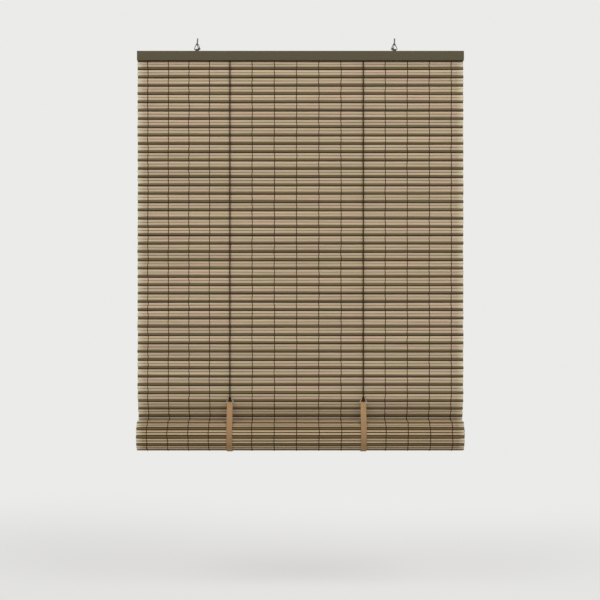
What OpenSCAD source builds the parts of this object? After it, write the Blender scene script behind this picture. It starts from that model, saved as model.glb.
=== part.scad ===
// Vinyl roll-up blind: a woven mat of oval slats hangs from a channel headrail on two screw hooks.
// The lower mat is wound into a roll that two strap slings carry.
// X runs along the headrail, +Y into the wall and +Z up.
// The origin lies on the wall, midway between the two hook screws.

/* [Mat] */
// Width of the woven mat
mat_w = 762; // [600:1:1000]
// Length of the mat from the headrail's top to its rolled end
mat_l = 1829; // [1650:1:1900]
// Distance of the mat's middle plane from the wall
mat_reach = 42; // [40:0.5:60]
// Sideways offset of the mat from the middle of the hooks
mat_offset = 11; // [-30:1:30]
// Distance from slat to slat
slat_pitch = 6.485; // [6.4:0.005:8]
// Height of one slat
slat_h = 6; // [5:0.05:6.1]
// Thickness of one slat at its middle
slat_t = 2.4; // [2:0.1:3]
// Thickness of one slat at its edges
slat_edge_t = 0.6; // [0.5:0.05:1]
// Wall of the hollow slats
slat_wall = 0.4; // [0.2:0.05:0.5]
// Slats in one colour repeat, the last of them dark
slat_repeat = 3; // [2:1:6]
// Depth of the first slat's middle below the headrail's top
mat_inset = 8.4; // [6:0.1:10]
// Width of a warp string
string_w = 1; // [0.6:0.1:2]
// Thickness of a warp string
string_t = 0.5; // [0.3:0.05:0.8]
// Distance from the mat's edge to its outermost string
string_margin = 26; // [10:1:60]
// Strings between the two lift cords
strings_between = 5; // [2:1:12]
// Strings beyond each lift cord
strings_beyond = 4; // [2:1:10]
// Sideways offset of the strings from the mat's middle
string_offset = -2; // [-10:0.5:10]

/* [Headrail] */
// Drop from the hook screws to the headrail's top
rail_drop = 15; // [14:0.5:30]
// Height of the headrail
rail_h = 22; // [20:0.5:40]
// Depth of the headrail
rail_d = 16; // [15.5:0.5:30]
// Sheet thickness of the headrail
rail_wall = 1.2; // [0.8:0.1:1.6]
// Thickness of an end cap's plate
cap_t = 1; // [0.8:0.1:4]
// Length of an end cap's tongues
cap_tongue_l = 10; // [5:0.5:20]
// Thickness of the clamp strip
clamp_t = 1.2; // [0.8:0.1:1.6]
// Drop from the headrail's top to the clamp strip's ledge
clamp_drop = 8; // [6:0.5:10]
// Diameter of the clamp screws
screw_d = 3; // [2:0.1:4]
// Number of clamp screws
screw_count = 4; // [2:1:8]

/* [Hooks] */
// Distance between the two hooks
hook_spacing = 461; // [300:1:560]
// Wire diameter of a hook
hook_d = 3; // [2.5:0.1:3.4]
// Distance of a hook's upright arm beyond the mat's plane
hook_past = 6; // [5:0.5:12]
// Height of a hook's arm above its screw
hook_arm_h = 14.5; // [10:0.5:30]
// Bend radius of a hook
hook_bend = 4; // [3:0.5:5]
// Diameter of a hook's screw thread
thread_d = 3.5; // [3:0.1:5]
// Length of a hook's screw thread
thread_l = 20; // [10:1:40]
// Lean of the left hook's arm
lean_left = 6.5; // [-10:0.5:10]
// Lean of the right hook's arm
lean_right = 1.5; // [-10:0.5:10]
// Wire diameter of a hanger ring
hanger_d = 2; // [1.5:0.1:2.4]
// Outer width of a hanger ring
hanger_w = 15.2; // [14:0.1:24]
// Height of a hanger ring's base wire above the headrail
hanger_lift = 3.4; // [3:0.1:4]

/* [Roll and slings] */
// Drop from the hook screws to the roll's axis
roll_drop = 913.5; // [880:0.5:940]
// Outer radius of the roll
roll_r = 37.3; // [36.5:0.1:38]
// Distance of the roll's axis in front of the mat's plane
roll_forward = 2; // [0:0.5:20]
// Rise of the mat's backward bend above the roll's axis
bend_rise = 97; // [85:1:140]
// Radius of the mat's backward bend
bend_r = 30; // [20:1:60]
// Distance between the turns of the roll
turn_pitch = 3.9; // [3.6:0.05:4]
// Distance between the two lift cords
tie_spacing = 312; // [150:1:440]
// Sideways offset of the lift cords from the middle of the hooks
tie_offset = 2; // [-20:0.5:20]
// Diameter of a lift cord
cord_d = 2.8; // [2:0.1:3]
// Rise of a sling's ring above the roll's axis
ring_rise = 76.5; // [60:0.5:120]
// Height of a sling's ring
ring_h = 12; // [9:0.5:20]
// Wire diameter of a sling's ring
ring_d = 1.5; // [1:0.1:2]
// Width of a sling's strap
strap_w = 13.4; // [8:0.2:20]
// Thickness of a sling's strap
strap_t = 1.2; // [0.8:0.1:1.5]
// Length of a strap's tail behind the roll
tail_l = 42; // [36:1:80]
// Thickness of a back tape
tape_t = 0.8; // [0.5:0.1:1]

/* [Hidden] */
$fn = 48;

// Clearances: seated pieces, pieces that move past each other, and a pin in its eye
seat_gap = 0.1;
run_gap = 0.3;
pin_gap = 0.05;

// A bent wire swells a little at its bends, and its straight lengths run a little way into them
bend_swell = 1.02;
bend_lap = 0.02;

// Colours
tan_vinyl = [0.72, 0.64, 0.52];
dark_vinyl = [0.40, 0.34, 0.27];
rail_paint = [0.36, 0.33, 0.26];
string_brown = [0.30, 0.23, 0.15];
cord_brown = [0.23, 0.16, 0.08];
strap_tan = [0.65, 0.52, 0.40];
nickel = [0.70, 0.70, 0.70];
bare_wood = [0.76, 0.62, 0.44];

// Planes and lines of the assembly
mat_y = -mat_reach;
rail_top = -rail_drop;
rail_bottom = rail_top - rail_h;
rail_front_in = mat_y - rail_d / 2 + rail_wall;
rail_back_in = mat_y + rail_d / 2 - rail_wall;
channel_l = mat_w + 2 * seat_gap;
roll_z = -roll_drop;
roll_y = mat_y - roll_forward;
hanger_axis = rail_top + hanger_lift;
hook_x = hook_spacing / 2;
tie_left = tie_offset - tie_spacing / 2;
tie_right = tie_offset + tie_spacing / 2;

// Slat section: two large arcs with blunt edges, and half the woven mat's thickness
function arc_radius(half_h, rise) = (half_h * half_h + rise * rise) / (2 * rise);
slat_rise = (slat_t - slat_edge_t) / 2;
slat_arc = arc_radius(slat_h / 2, slat_rise);
string_gap = 0.05;
mat_half = slat_t / 2 + string_gap + string_t;
function slat_half(u) = sqrt(slat_arc * slat_arc - u * u) - slat_arc + slat_t / 2;

// Mat path: straight down, bent back, straight to the roll and then wound inwards
band_r = roll_r - slat_t / 2;
bend_z = roll_z + bend_rise;
bend_reach = bend_r + roll_forward;
bend_tilt = atan2(bend_rise, bend_reach)
    - acos((bend_r + band_r) / norm([bend_reach, bend_rise]));
hang_l = rail_top - bend_z;
bend_l = bend_r * bend_tilt * PI / 180;
slope_l = (bend_rise - (bend_r + band_r) * sin(bend_tilt)) / cos(bend_tilt);
wind_start = hang_l + bend_l + slope_l;

function hang_at(s) = [mat_y, rail_top - s, 0];
function bend_at(s) = let (a = (s - hang_l) / bend_r * 180 / PI)
    [mat_y + bend_r * (1 - cos(a)), bend_z - bend_r * sin(a), a];
function slope_at(s) = let (l = s - hang_l - bend_l, e = bend_at(hang_l + bend_l))
    [e[0] + l * sin(bend_tilt), e[1] - l * cos(bend_tilt), bend_tilt];
function mat_at(s) = s <= hang_l ? hang_at(s) : s <= hang_l + bend_l ? bend_at(s) : slope_at(s);
function mat_off(s, v) = let (p = mat_at(s)) [p[0] + v * cos(p[2]), p[1] + v * sin(p[2])];
function slat_s(i) = mat_inset + i * slat_pitch;

// Lift: the rings stop below the headrail, and the slats above the raised roll always hang
stop_gap = 13;
roll_lift = rail_bottom - stop_gap - (roll_z + ring_rise + ring_h);
raised_top = roll_z + roll_lift + roll_r;
hang_margin = 6;
slats_hung = floor((wind_start - mat_inset) / slat_pitch) + 1;
slats_all = floor((mat_l - mat_inset) / slat_pitch);
slats_upper = floor((rail_top - raised_top - hang_margin - mat_inset - slat_h / 2) / slat_pitch) + 1;
upper_end = slat_s(slats_upper - 0.5);
lower_end = slat_s(slats_hung - 0.5);

// Roll: turning angle and radius of the band after a wound length
function wound_angle(s) = (band_r - sqrt(band_r * band_r - turn_pitch * s / PI)) * 360 / turn_pitch;
function wound_radius(s) = band_r - turn_pitch * wound_angle(s) / 360;
slat_outline = [for (k = [-1, -0.6, 0, 0.6, 1]) [k * slat_h / 2, slat_half(k * slat_h / 2)]];
function wound_point(i, u, v) =
    let (s = slat_s(i) - wind_start, a = bend_tilt - wound_angle(s), r = wound_radius(s) + v)
    [roll_y + r * cos(a) + u * sin(a), roll_z + r * sin(a) - u * cos(a)];
rod_r = wound_radius(slat_s(slats_all - 1) - wind_start) - slat_t / 2 - run_gap;

// Strings: evenly spread from each edge to its lift cord, and between the cords
mat_left = mat_offset + string_offset - mat_w / 2 + string_margin;
mat_right = mat_offset + string_offset + mat_w / 2 - string_margin;
function spread(a, b, n) = [for (i = [0 : n - 1]) a + (b - a) * i / n];
string_x = concat(spread(mat_left, tie_left, strings_beyond),
    spread(tie_left, tie_right, strings_between + 1), spread(tie_right, mat_right, strings_beyond), [mat_right]);

// Clamp: strip in front of the mat, batten behind it and screws midway between strings
clamp_back = mat_y - mat_half - seat_gap;
clamp_front = clamp_back - clamp_t;
ledge_z = rail_top - clamp_drop;
ledge_front = rail_front_in + run_gap;
batten_front = mat_y + mat_half + seat_gap;
batten_back = rail_back_in - tape_t - 2 * seat_gap;
inner_top = rail_top - rail_wall - seat_gap;
inner_bottom = rail_bottom + 1;
screw_z = rail_top - slat_s(1);
screw_head_r = screw_d;
screw_head_t = 2;
screw_room = 0.15;
function screw_x(i) = let (n = floor((i + 0.5) * (len(string_x) - 1) / screw_count))
    (string_x[n] + string_x[n + 1]) / 2;

// Lift cords, their knots and the slings
cord_y = clamp_front - 2 * seat_gap - cord_d / 2;
anchor_r = (clamp_back - rail_front_in) / 2 - seat_gap;
anchor_h = clamp_drop - rail_wall - 2 * seat_gap;
knot_r = 2.6;
knot_h = 7;
knot_drop = 5;
ring_base = roll_z + ring_rise;
ring_top = ring_base + ring_h;
knot_z = ring_top - knot_drop;
sling_in = roll_r + run_gap;
loop_in = ring_d / 2 + 0.2;
loop_mid = loop_in + strap_t / 2;
sling_mid = sling_in + strap_t / 2;
sling_dir = [roll_y - cord_y, -ring_rise];
sling_turn = atan2(sling_dir[1], sling_dir[0]) - acos((loop_mid - sling_mid) / norm(sling_dir)) + 360;
tape_y = rail_back_in - seat_gap - tape_t / 2;
seam_y = roll_y + sling_in - run_gap - tape_t / 2;
seam_low = 18;
seam_over = 8;
seam_bottom = roll_z + seam_low;
seam_top = roll_z + tail_l + seam_over;

// Extrudes an outline drawn in Y and Z along X, about the middle
module along_x(l) {
    rotate([90, 0, 90]) linear_extrude(l, center = true) children();
}

// Turns a section about an X axis through the given Y and Z, from one angle over a sweep
module about_x(y, z, start, sweep) {
    translate([0, y, z]) rotate([90, 0, 90]) rotate([0, 0, start]) rotate_extrude(angle = sweep) children();
}

// Oval of two arcs with blunt edges
module oval(h, half_t, rise) {
    r = arc_radius(h / 2, rise);
    intersection() {
        translate([half_t - r, 0]) circle(r, $fn = 180);
        translate([r - half_t, 0]) circle(r, $fn = 180);
        square([2 * half_t, h], center = true);
    }
}

module slat_section() {
    difference() {
        oval(slat_h, slat_t / 2, slat_rise);
        oval(slat_h - 2 * slat_wall, slat_t / 2 - slat_wall, slat_rise * 0.6);
    }
}

// Slats from one index to another, dark or tan
module slats(from, to, dark) {
    for (i = [from : to - 1]) {
        if ((i % slat_repeat == slat_repeat - 1) == dark) {
            p = mat_at(slat_s(i));
            translate([mat_offset, 0, 0]) along_x(mat_w) translate([p[0], p[1]]) rotate(p[2]) slat_section();
        }
    }
}

// Slats held in the headrail, pierced where a clamp screw passes
module pierced_slats(dark) {
    difference() {
        slats(0, slats_upper, dark);
        for (i = [0 : screw_count - 1]) {
            translate([screw_x(i), mat_y, screw_z]) rotate([90, 0, 0])
                cylinder(d = screw_d + 2 * screw_room, h = 2 * slat_t, center = true);
        }
    }
}

// One warp string on each face of the mat, along a stretch of its path
module string_pair(stops) {
    for (side = [-1, 1]) {
        near = side * (slat_t / 2 + string_gap);
        far = side * mat_half;
        along_x(string_w) polygon(concat([for (s = stops) mat_off(s, near)],
            [for (k = [len(stops) - 1 : -1 : 0]) mat_off(stops[k], far)]));
    }
}

module strings(stops) {
    for (x = string_x) {
        translate([x, 0, 0]) string_pair(stops);
    }
}

// Closed wire loop round three corner arcs, drawn in X and Z about Y = 0
module wire_loop(corners, radii, wire_r) {
    n = len(corners);
    turns = [for (i = [0 : n - 1])
        let (d = corners[(i + 1) % n] - corners[i])
        atan2(d[1], d[0]) - acos((radii[i] - radii[(i + 1) % n]) / norm(d))];
    rotate([90, 0, 0]) for (i = [0 : n - 1]) {
        before = turns[(i + n - 1) % n];
        sweep = (turns[i] - before + 720) % 360;
        out = [cos(turns[i]), sin(turns[i])];
        a = corners[i] + radii[i] * out;
        b = corners[(i + 1) % n] + radii[(i + 1) % n] * out;
        translate([corners[i][0], corners[i][1], 0]) rotate([0, 0, before])
            rotate_extrude(angle = sweep) translate([radii[i], 0]) circle(wire_r * bend_swell);
        translate([a[0], a[1], 0]) rotate([0, 0, atan2(b[1] - a[1], b[0] - a[0])]) rotate([0, 90, 0])
            translate([0, 0, -bend_lap]) cylinder(r = wire_r, h = norm(b - a) + 2 * bend_lap);
    }
}

// Knot of round beads that run into each other
module knot(r, h) {
    beads = 5;
    bead = h / 8.5;
    step = (h - 2 * bead) / (beads - 1);
    rotate_extrude() {
        square([r - bead, h]);
        for (k = [0 : beads - 1]) {
            translate([r - bead, bead + k * step]) circle(bead);
        }
    }
}

module screw_hook(x, lean) {
    arm_y = mat_y - hook_past;
    tip_l = thread_d;
    color(nickel) translate([x, 0, 0]) rotate([0, lean, 0]) {
        rotate([-90, 0, 0]) cylinder(d = thread_d, h = thread_l - tip_l);
        translate([0, thread_l - tip_l, 0]) rotate([-90, 0, 0])
            cylinder(d1 = thread_d, d2 = thread_d / 8, h = tip_l);
        rotate([90, 0, 0]) cylinder(d = hook_d, h = -arm_y - hook_bend);
        about_x(arm_y + hook_bend, hook_bend, 180, 90) translate([hook_bend, 0]) circle(d = hook_d);
        translate([0, arm_y, hook_bend]) cylinder(d = hook_d, h = hook_arm_h - hook_bend - hook_d / 2);
        translate([0, arm_y, hook_arm_h - hook_d / 2]) sphere(d = hook_d);
    }
}

module hanger_ring(x) {
    apex_r = (hook_d + hanger_d) / 2 + 3 * pin_gap;
    apex_z = (hook_d + hanger_d) / 2 + pin_gap - apex_r;
    corner_r = 2.2;
    corner_x = (hanger_w - hanger_d) / 2 - corner_r;
    corner_z = hanger_axis + corner_r;
    color(nickel) translate([x, mat_y, 0])
        wire_loop([[0, apex_z], [-corner_x, corner_z], [corner_x, corner_z]],
            [apex_r, corner_r, corner_r], hanger_d / 2);
}

module headrail_channel() {
    color(rail_paint) difference() {
        translate([mat_offset, 0, 0]) along_x(channel_l) translate([mat_y - rail_d / 2, rail_bottom])
            difference() {
                square([rail_d, rail_h]);
                translate([rail_wall, -rail_wall]) square([rail_d - 2 * rail_wall, rail_h]);
            }
        for (i = [0 : screw_count - 1]) {
            translate([screw_x(i), rail_back_in - rail_wall, screw_z]) rotate([-90, 0, 0])
                cylinder(d = screw_d + 2 * screw_room, h = 3 * rail_wall);
        }
        rivet_places() translate([0, 0, -2 * rail_wall]) cylinder(d = rivet_d + 2 * pin_gap, h = 3 * rail_wall);
    }
}

// End cap: a plate over the channel's end, with a tongue on each side of the mat
module end_cap(side) {
    end_x = side * channel_l / 2;
    tongue_h = inner_top - inner_bottom;
    front_d = clamp_back - rail_front_in - seat_gap;
    back_d = rail_back_in - seat_gap - batten_front;
    color(rail_paint) translate([mat_offset + end_x, 0, 0]) {
        translate([side * cap_t / 2, mat_y, rail_bottom + rail_h / 2])
            cube([cap_t, rail_d, rail_h], center = true);
        for (y = [[rail_front_in + seat_gap, front_d], [batten_front, back_d]]) {
            translate([side > 0 ? -cap_tongue_l : 0, y[0], inner_bottom])
                cube([cap_tongue_l, y[1], tongue_h]);
        }
    }
}

// Rivets stand before and behind each saddle's eye
rivet_d = 2.4;
rivet_head_r = 2;
rivet_head_t = 0.9;
rivet_off = rail_d / 2 - rail_wall - seat_gap - rivet_head_r;
saddle_w = 8.2;
foot_t = 1.2;
eye_r = 2.2;

module rivet_places() {
    for (x = [-hook_x, hook_x]) {
        for (y = [-rivet_off, rivet_off]) {
            translate([x, mat_y + y, rail_top]) children();
        }
    }
}

module saddle(x) {
    foot_d = 2 * (rivet_off + rivet_head_r);
    color(nickel) translate([x, mat_y, rail_top]) difference() {
        union() {
            translate([-saddle_w / 2, -foot_d / 2, 0]) cube([saddle_w, foot_d, foot_t]);
            translate([-saddle_w / 2, -eye_r, 0]) cube([saddle_w, 2 * eye_r, hanger_lift]);
            translate([0, 0, hanger_lift]) rotate([0, 90, 0]) cylinder(r = eye_r, h = saddle_w, center = true);
        }
        translate([0, 0, hanger_lift]) rotate([0, 90, 0])
            cylinder(d = hanger_d + 2 * pin_gap, h = 2 * saddle_w, center = true);
        for (y = [-rivet_off, rivet_off]) {
            translate([0, y, -foot_t]) cylinder(d = rivet_d + 2 * pin_gap, h = 3 * foot_t);
        }
    }
}

module saddle_rivets() {
    color(nickel) rivet_places() {
        translate([0, 0, -rail_wall - rivet_head_t]) cylinder(r = rivet_head_r, h = rivet_head_t);
        translate([0, 0, -rail_wall]) cylinder(d = rivet_d, h = rail_wall + foot_t);
        translate([0, 0, foot_t]) cylinder(r1 = rivet_head_r, r2 = rivet_head_r * 0.6, h = rivet_head_t);
    }
}

module batten() {
    l = channel_l - 2 * (cap_tongue_l + seat_gap);
    color(bare_wood) translate([mat_offset, 0, 0]) difference() {
        translate([-l / 2, batten_front, inner_bottom])
            cube([l, batten_back - batten_front, inner_top - inner_bottom - rivet_head_t]);
        for (i = [0 : screw_count - 1]) {
            translate([screw_x(i) - mat_offset, batten_front - 1, screw_z]) rotate([-90, 0, 0])
                cylinder(d = screw_d + 2 * pin_gap, h = rail_d);
        }
    }
}

// Clamp strip: an angle with a ledge that the lift cords hang from
module clamp_strip() {
    l = channel_l - 2 * (cap_tongue_l + seat_gap);
    color(nickel) translate([mat_offset, 0, 0]) difference() {
        along_x(l) polygon([[clamp_back, inner_bottom], [clamp_back, ledge_z], [ledge_front, ledge_z],
            [ledge_front, ledge_z - clamp_t], [clamp_front, ledge_z - clamp_t], [clamp_front, inner_bottom]]);
        for (x = [tie_left, tie_right]) {
            translate([x - mat_offset, cord_y, ledge_z - 2 * clamp_t])
                cylinder(d = cord_d + 2 * seat_gap, h = 4 * clamp_t);
        }
        for (i = [0 : screw_count - 1]) {
            translate([screw_x(i) - mat_offset, clamp_front - clamp_t, screw_z]) rotate([-90, 0, 0])
                cylinder(d = screw_d + 2 * pin_gap, h = 4 * clamp_t);
        }
    }
}

module clamp_screws() {
    head_y = mat_y + rail_d / 2;
    color(nickel) for (i = [0 : screw_count - 1]) {
        translate([screw_x(i), head_y, screw_z]) {
            rotate([-90, 0, 0]) cylinder(r1 = screw_head_r, r2 = screw_head_r * 0.7, h = screw_head_t);
            rotate([90, 0, 0]) cylinder(d = screw_d, h = head_y - clamp_front);
        }
    }
}

module upper_tan_slats() {
    color(tan_vinyl) pierced_slats(false);
}

module upper_dark_slats() {
    color(dark_vinyl) pierced_slats(true);
}

module lower_tan_slats() {
    color(tan_vinyl) slats(slats_upper, slats_hung, false);
}

module lower_dark_slats() {
    color(dark_vinyl) slats(slats_upper, slats_hung, true);
}

module upper_strings() {
    color(string_brown) strings([mat_inset - slat_h / 2, upper_end]);
}

module lower_strings() {
    bend_stops = [for (k = [0 : 4]) hang_l + bend_l * k / 4];
    color(string_brown) {
        strings([upper_end, hang_l]);
        strings(concat(bend_stops, [lower_end]));
    }
}

module front_cord(x) {
    cord_end = knot_z + knot_h + run_gap;
    color(cord_brown) translate([x, cord_y, cord_end]) cylinder(d = cord_d, h = ledge_z - cord_end);
}

module anchor_knot(x) {
    color(cord_brown) translate([x, rail_front_in + seat_gap + anchor_r, ledge_z]) knot(anchor_r, anchor_h);
}

// Back tape: down from the headrail behind the mat, to its seam on the strap's tail
module back_tape(x) {
    line = [[tape_y, inner_top], [tape_y, rail_bottom], [seam_y, seam_top], [seam_y, seam_bottom]];
    color(strap_tan) translate([x, 0, 0]) along_x(strap_w)
        polygon(concat([for (p = line) [p[0] - tape_t / 2, p[1]]],
            [for (k = [3 : -1 : 0]) [line[k][0] + tape_t / 2, line[k][1]]]));
}

// Strap: a loop on its ring, straight to the roll's front, under the roll and up behind it
module strap(x) {
    out = [cos(sling_turn), sin(sling_turn)];
    bar = [cord_y, ring_base];
    axis = [roll_y, roll_z];
    tail_top = [roll_y + sling_in, roll_z + tail_l];
    rays = [for (k = [0 : 32]) let (a = sling_turn + (360 - sling_turn) * k / 32) [cos(a), sin(a)]];
    outer = [for (r = rays) axis + (sling_in + strap_t) * r];
    inner = [for (k = [len(rays) - 1 : -1 : 0]) axis + sling_in * rays[k]];
    color(strap_tan) translate([x, 0, 0]) difference() {
        union() {
            translate([0, cord_y, ring_base]) rotate([0, 90, 0])
                cylinder(r = loop_in + strap_t, h = strap_w, center = true);
            along_x(strap_w) polygon(concat([bar + (loop_in + strap_t) * out], outer,
                [tail_top + [strap_t, 0], tail_top], inner, [bar + loop_in * out]));
        }
        translate([0, cord_y, ring_base]) rotate([0, 90, 0])
            cylinder(r = loop_in, h = 2 * strap_w, center = true);
    }
}

module tie_ring(x) {
    corner_r = 1.2;
    apex_r = 1.6;
    corner_x = strap_w / 2 + run_gap;
    color(nickel) translate([x, cord_y, 0])
        wire_loop([[0, ring_top - apex_r], [-corner_x, ring_base + corner_r], [corner_x, ring_base + corner_r]],
            [apex_r, corner_r, corner_r], ring_d / 2);
}

// Knot that ties a lift cord round the top of its ring
module cord_knot(x) {
    color(cord_brown) translate([x, cord_y, knot_z]) knot(knot_r, knot_h);
}

// Rolled mat: one spiral band of slats joined by its thin woven web
module rolled_mat() {
    last = slats_all - 1;
    outer = [for (i = [slats_hung : last]) for (p = slat_outline) wound_point(i, p[0], p[1])];
    inner = [for (i = [last : -1 : slats_hung]) for (p = slat_outline) wound_point(i, -p[0], -p[1])];
    color(tan_vinyl) translate([mat_offset, 0, 0]) along_x(mat_w) polygon(concat(outer, inner));
}

module bottom_rod() {
    color(bare_wood) translate([mat_offset, roll_y, roll_z]) rotate([0, 90, 0])
        cylinder(r = rod_r, h = mat_w, center = true);
}

screw_hook(-hook_x, lean_left);  // screw_hook_left
screw_hook(hook_x, lean_right);  // screw_hook_right
hanger_ring(-hook_x);  // hanger_ring_left
hanger_ring(hook_x);  // hanger_ring_right
headrail_channel();
end_cap(-1);  // end_cap_left
end_cap(1);  // end_cap_right
saddle(-hook_x);  // saddle_left
saddle(hook_x);  // saddle_right
saddle_rivets();
batten();
clamp_strip();
clamp_screws();
upper_tan_slats();
upper_dark_slats();
lower_tan_slats();
lower_dark_slats();
upper_strings();
lower_strings();
front_cord(tie_left);  // front_cord_left
front_cord(tie_right);  // front_cord_right
anchor_knot(tie_left);  // anchor_knot_left
anchor_knot(tie_right);  // anchor_knot_right
back_tape(tie_left);  // back_tape_left
back_tape(tie_right);  // back_tape_right
strap(tie_left);  // strap_left
strap(tie_right);  // strap_right
tie_ring(tie_left);  // tie_ring_left
tie_ring(tie_right);  // tie_ring_right
cord_knot(tie_left);  // cord_knot_left
cord_knot(tie_right);  // cord_knot_right
rolled_mat();
bottom_rod();
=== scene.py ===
import math
import random

import bmesh
import bpy
from mathutils import Matrix, Vector
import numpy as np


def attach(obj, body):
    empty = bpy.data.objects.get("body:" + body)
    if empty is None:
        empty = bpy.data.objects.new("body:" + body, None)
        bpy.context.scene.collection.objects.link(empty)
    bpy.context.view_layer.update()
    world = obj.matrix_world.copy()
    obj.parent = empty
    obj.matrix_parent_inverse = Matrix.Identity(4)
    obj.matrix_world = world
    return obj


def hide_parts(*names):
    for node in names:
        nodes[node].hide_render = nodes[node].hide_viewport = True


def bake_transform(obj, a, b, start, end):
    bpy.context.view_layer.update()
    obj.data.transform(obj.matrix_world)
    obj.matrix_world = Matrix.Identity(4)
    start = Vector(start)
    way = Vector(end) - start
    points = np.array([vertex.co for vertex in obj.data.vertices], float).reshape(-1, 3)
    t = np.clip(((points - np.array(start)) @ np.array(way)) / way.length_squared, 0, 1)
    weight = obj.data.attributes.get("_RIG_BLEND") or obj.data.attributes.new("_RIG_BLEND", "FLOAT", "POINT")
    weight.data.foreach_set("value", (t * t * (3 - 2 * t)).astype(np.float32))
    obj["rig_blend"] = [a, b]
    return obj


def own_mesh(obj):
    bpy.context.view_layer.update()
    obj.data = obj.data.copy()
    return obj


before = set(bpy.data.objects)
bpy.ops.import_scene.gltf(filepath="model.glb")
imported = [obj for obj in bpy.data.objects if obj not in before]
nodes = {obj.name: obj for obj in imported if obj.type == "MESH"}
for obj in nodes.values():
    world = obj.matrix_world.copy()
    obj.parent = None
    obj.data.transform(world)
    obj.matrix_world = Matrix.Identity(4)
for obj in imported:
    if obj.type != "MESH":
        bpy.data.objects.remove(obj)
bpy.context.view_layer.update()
scene = bpy.context.scene
scene.view_settings.view_transform = "Standard"
mm = 0.001  # plans are in millimetres, unless they say metres


# helpers that stage, materials and pieces share

def asMesh(name, bm):
    mesh = bpy.data.meshes.new(name)
    bm.to_mesh(mesh)
    bm.free()
    return mesh


def addNode(tree, kind, values=None, **settings):
    node = tree.nodes.new(kind)
    for key, value in settings.items():
        setattr(node, key, value)
    for key, value in (values or {}).items():
        node.inputs[key].default_value = value
    return node


def wire(tree, *pairs):
    for source, target in pairs:
        tree.links.new(source, target)


def feed(tree, pairs):
    # gives each socket its number or colour, or a link
    for socket, value in pairs:
        if isinstance(value, (int, float, tuple)):
            socket.default_value = value
        else:
            tree.links.new(value, socket)


def math2(tree, operation, a, b=0, clamp=False):
    node = addNode(tree, "ShaderNodeMath", operation=operation, use_clamp=clamp)
    feed(tree, zip(node.inputs, (a, b)))
    return node.outputs[0]


def mapRange(tree, value, ranges, **settings):
    node = addNode(tree, "ShaderNodeMapRange", ranges, **settings)
    wire(tree, (value, node.inputs["Value"]))
    return node.outputs[0]


# camera, lamps and floor

viewPlan = {
    "camera": (9.95, -3642, -597.3),  # level, square to the mat
    "sensor": 36,
    "matDistance": 3600,
    "fieldWidth": 1404.6,  # width of the picture at the mat, for a square image
    "clipEnd": 100,  # metres
    "backdrop": (0.83, 0.83, 0.82, 1),
    "ambient": (1.0, 0.985, 0.96, 1),
    "ambientStrength": 0.36,
}


def placeCamera():
    data = bpy.data.cameras.new("photoCamera")
    data.sensor_width = viewPlan["sensor"]
    data.lens = viewPlan["sensor"] * viewPlan["matDistance"] / viewPlan["fieldWidth"]
    data.clip_end = viewPlan["clipEnd"]
    camera = bpy.data.objects.new("photoCamera", data)
    camera.location = Vector(viewPlan["camera"]) * mm
    camera.rotation_euler = (math.pi / 2, 0, 0)
    scene.collection.objects.link(camera)
    scene.camera = camera


lampPlan = [  # sizes in metres
    {"name": "leftSoftbox", "place": (-1500, -2300, 1500), "aim": (0, 0, -600), "size": 1.7, "watts": 36},
    {"name": "rightSoftbox", "place": (1500, -2300, 1500), "aim": (0, 0, -600), "size": 1.7, "watts": 36},
    {"name": "lowSoftbox", "place": (0, -2600, -1000), "aim": (0, 0, -700), "size": 2.4, "watts": 9},
    {"name": "backSoftbox", "place": (500, 2600, 900), "aim": (0, 0, -500), "size": 2.2, "watts": 50},
]


def placeLamps():
    for lamp in lampPlan:
        data = bpy.data.lights.new(lamp["name"], "AREA")
        data.size = lamp["size"]
        data.energy = lamp["watts"]
        light = bpy.data.objects.new(lamp["name"], data)
        light.location = Vector(lamp["place"]) * mm
        aim = Vector(lamp["aim"]) * mm - light.location
        light.rotation_euler = aim.to_track_quat("-Z", "Y").to_euler()
        scene.collection.objects.link(light)


def seenRays(tree):
    # 1 where the camera, a mirror or glass looks straight at the backdrop
    path = addNode(tree, "ShaderNodeLightPath").outputs
    direct = math2(tree, "MAXIMUM", path["Is Camera Ray"], path["Is Glossy Ray"])
    return math2(tree, "MAXIMUM", direct, path["Is Transmission Ray"])


def buildWorld():
    world = bpy.data.worlds.new("studioAir")
    scene.world = world
    world.use_nodes = True
    tree = world.node_tree
    tree.nodes.clear()
    ambient = addNode(tree, "ShaderNodeBackground",
                      {"Color": viewPlan["ambient"], "Strength": viewPlan["ambientStrength"]})
    backdrop = addNode(tree, "ShaderNodeBackground", {"Color": viewPlan["backdrop"], "Strength": 1})
    mix = addNode(tree, "ShaderNodeMixShader")
    out = addNode(tree, "ShaderNodeOutputWorld")
    wire(tree, (seenRays(tree), mix.inputs["Fac"]), (ambient.outputs[0], mix.inputs[1]),
         (backdrop.outputs[0], mix.inputs[2]), (mix.outputs[0], out.inputs["Surface"]))


floorPlan = {  # size and fade in metres
    "z": -1300, "size": 30, "color": (0.82, 0.82, 0.81, 1),
    "fade": {"From Min": 1.35, "From Max": 2.6, "To Min": 0.4},  # it turns into the backdrop away from the middle
}


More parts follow.
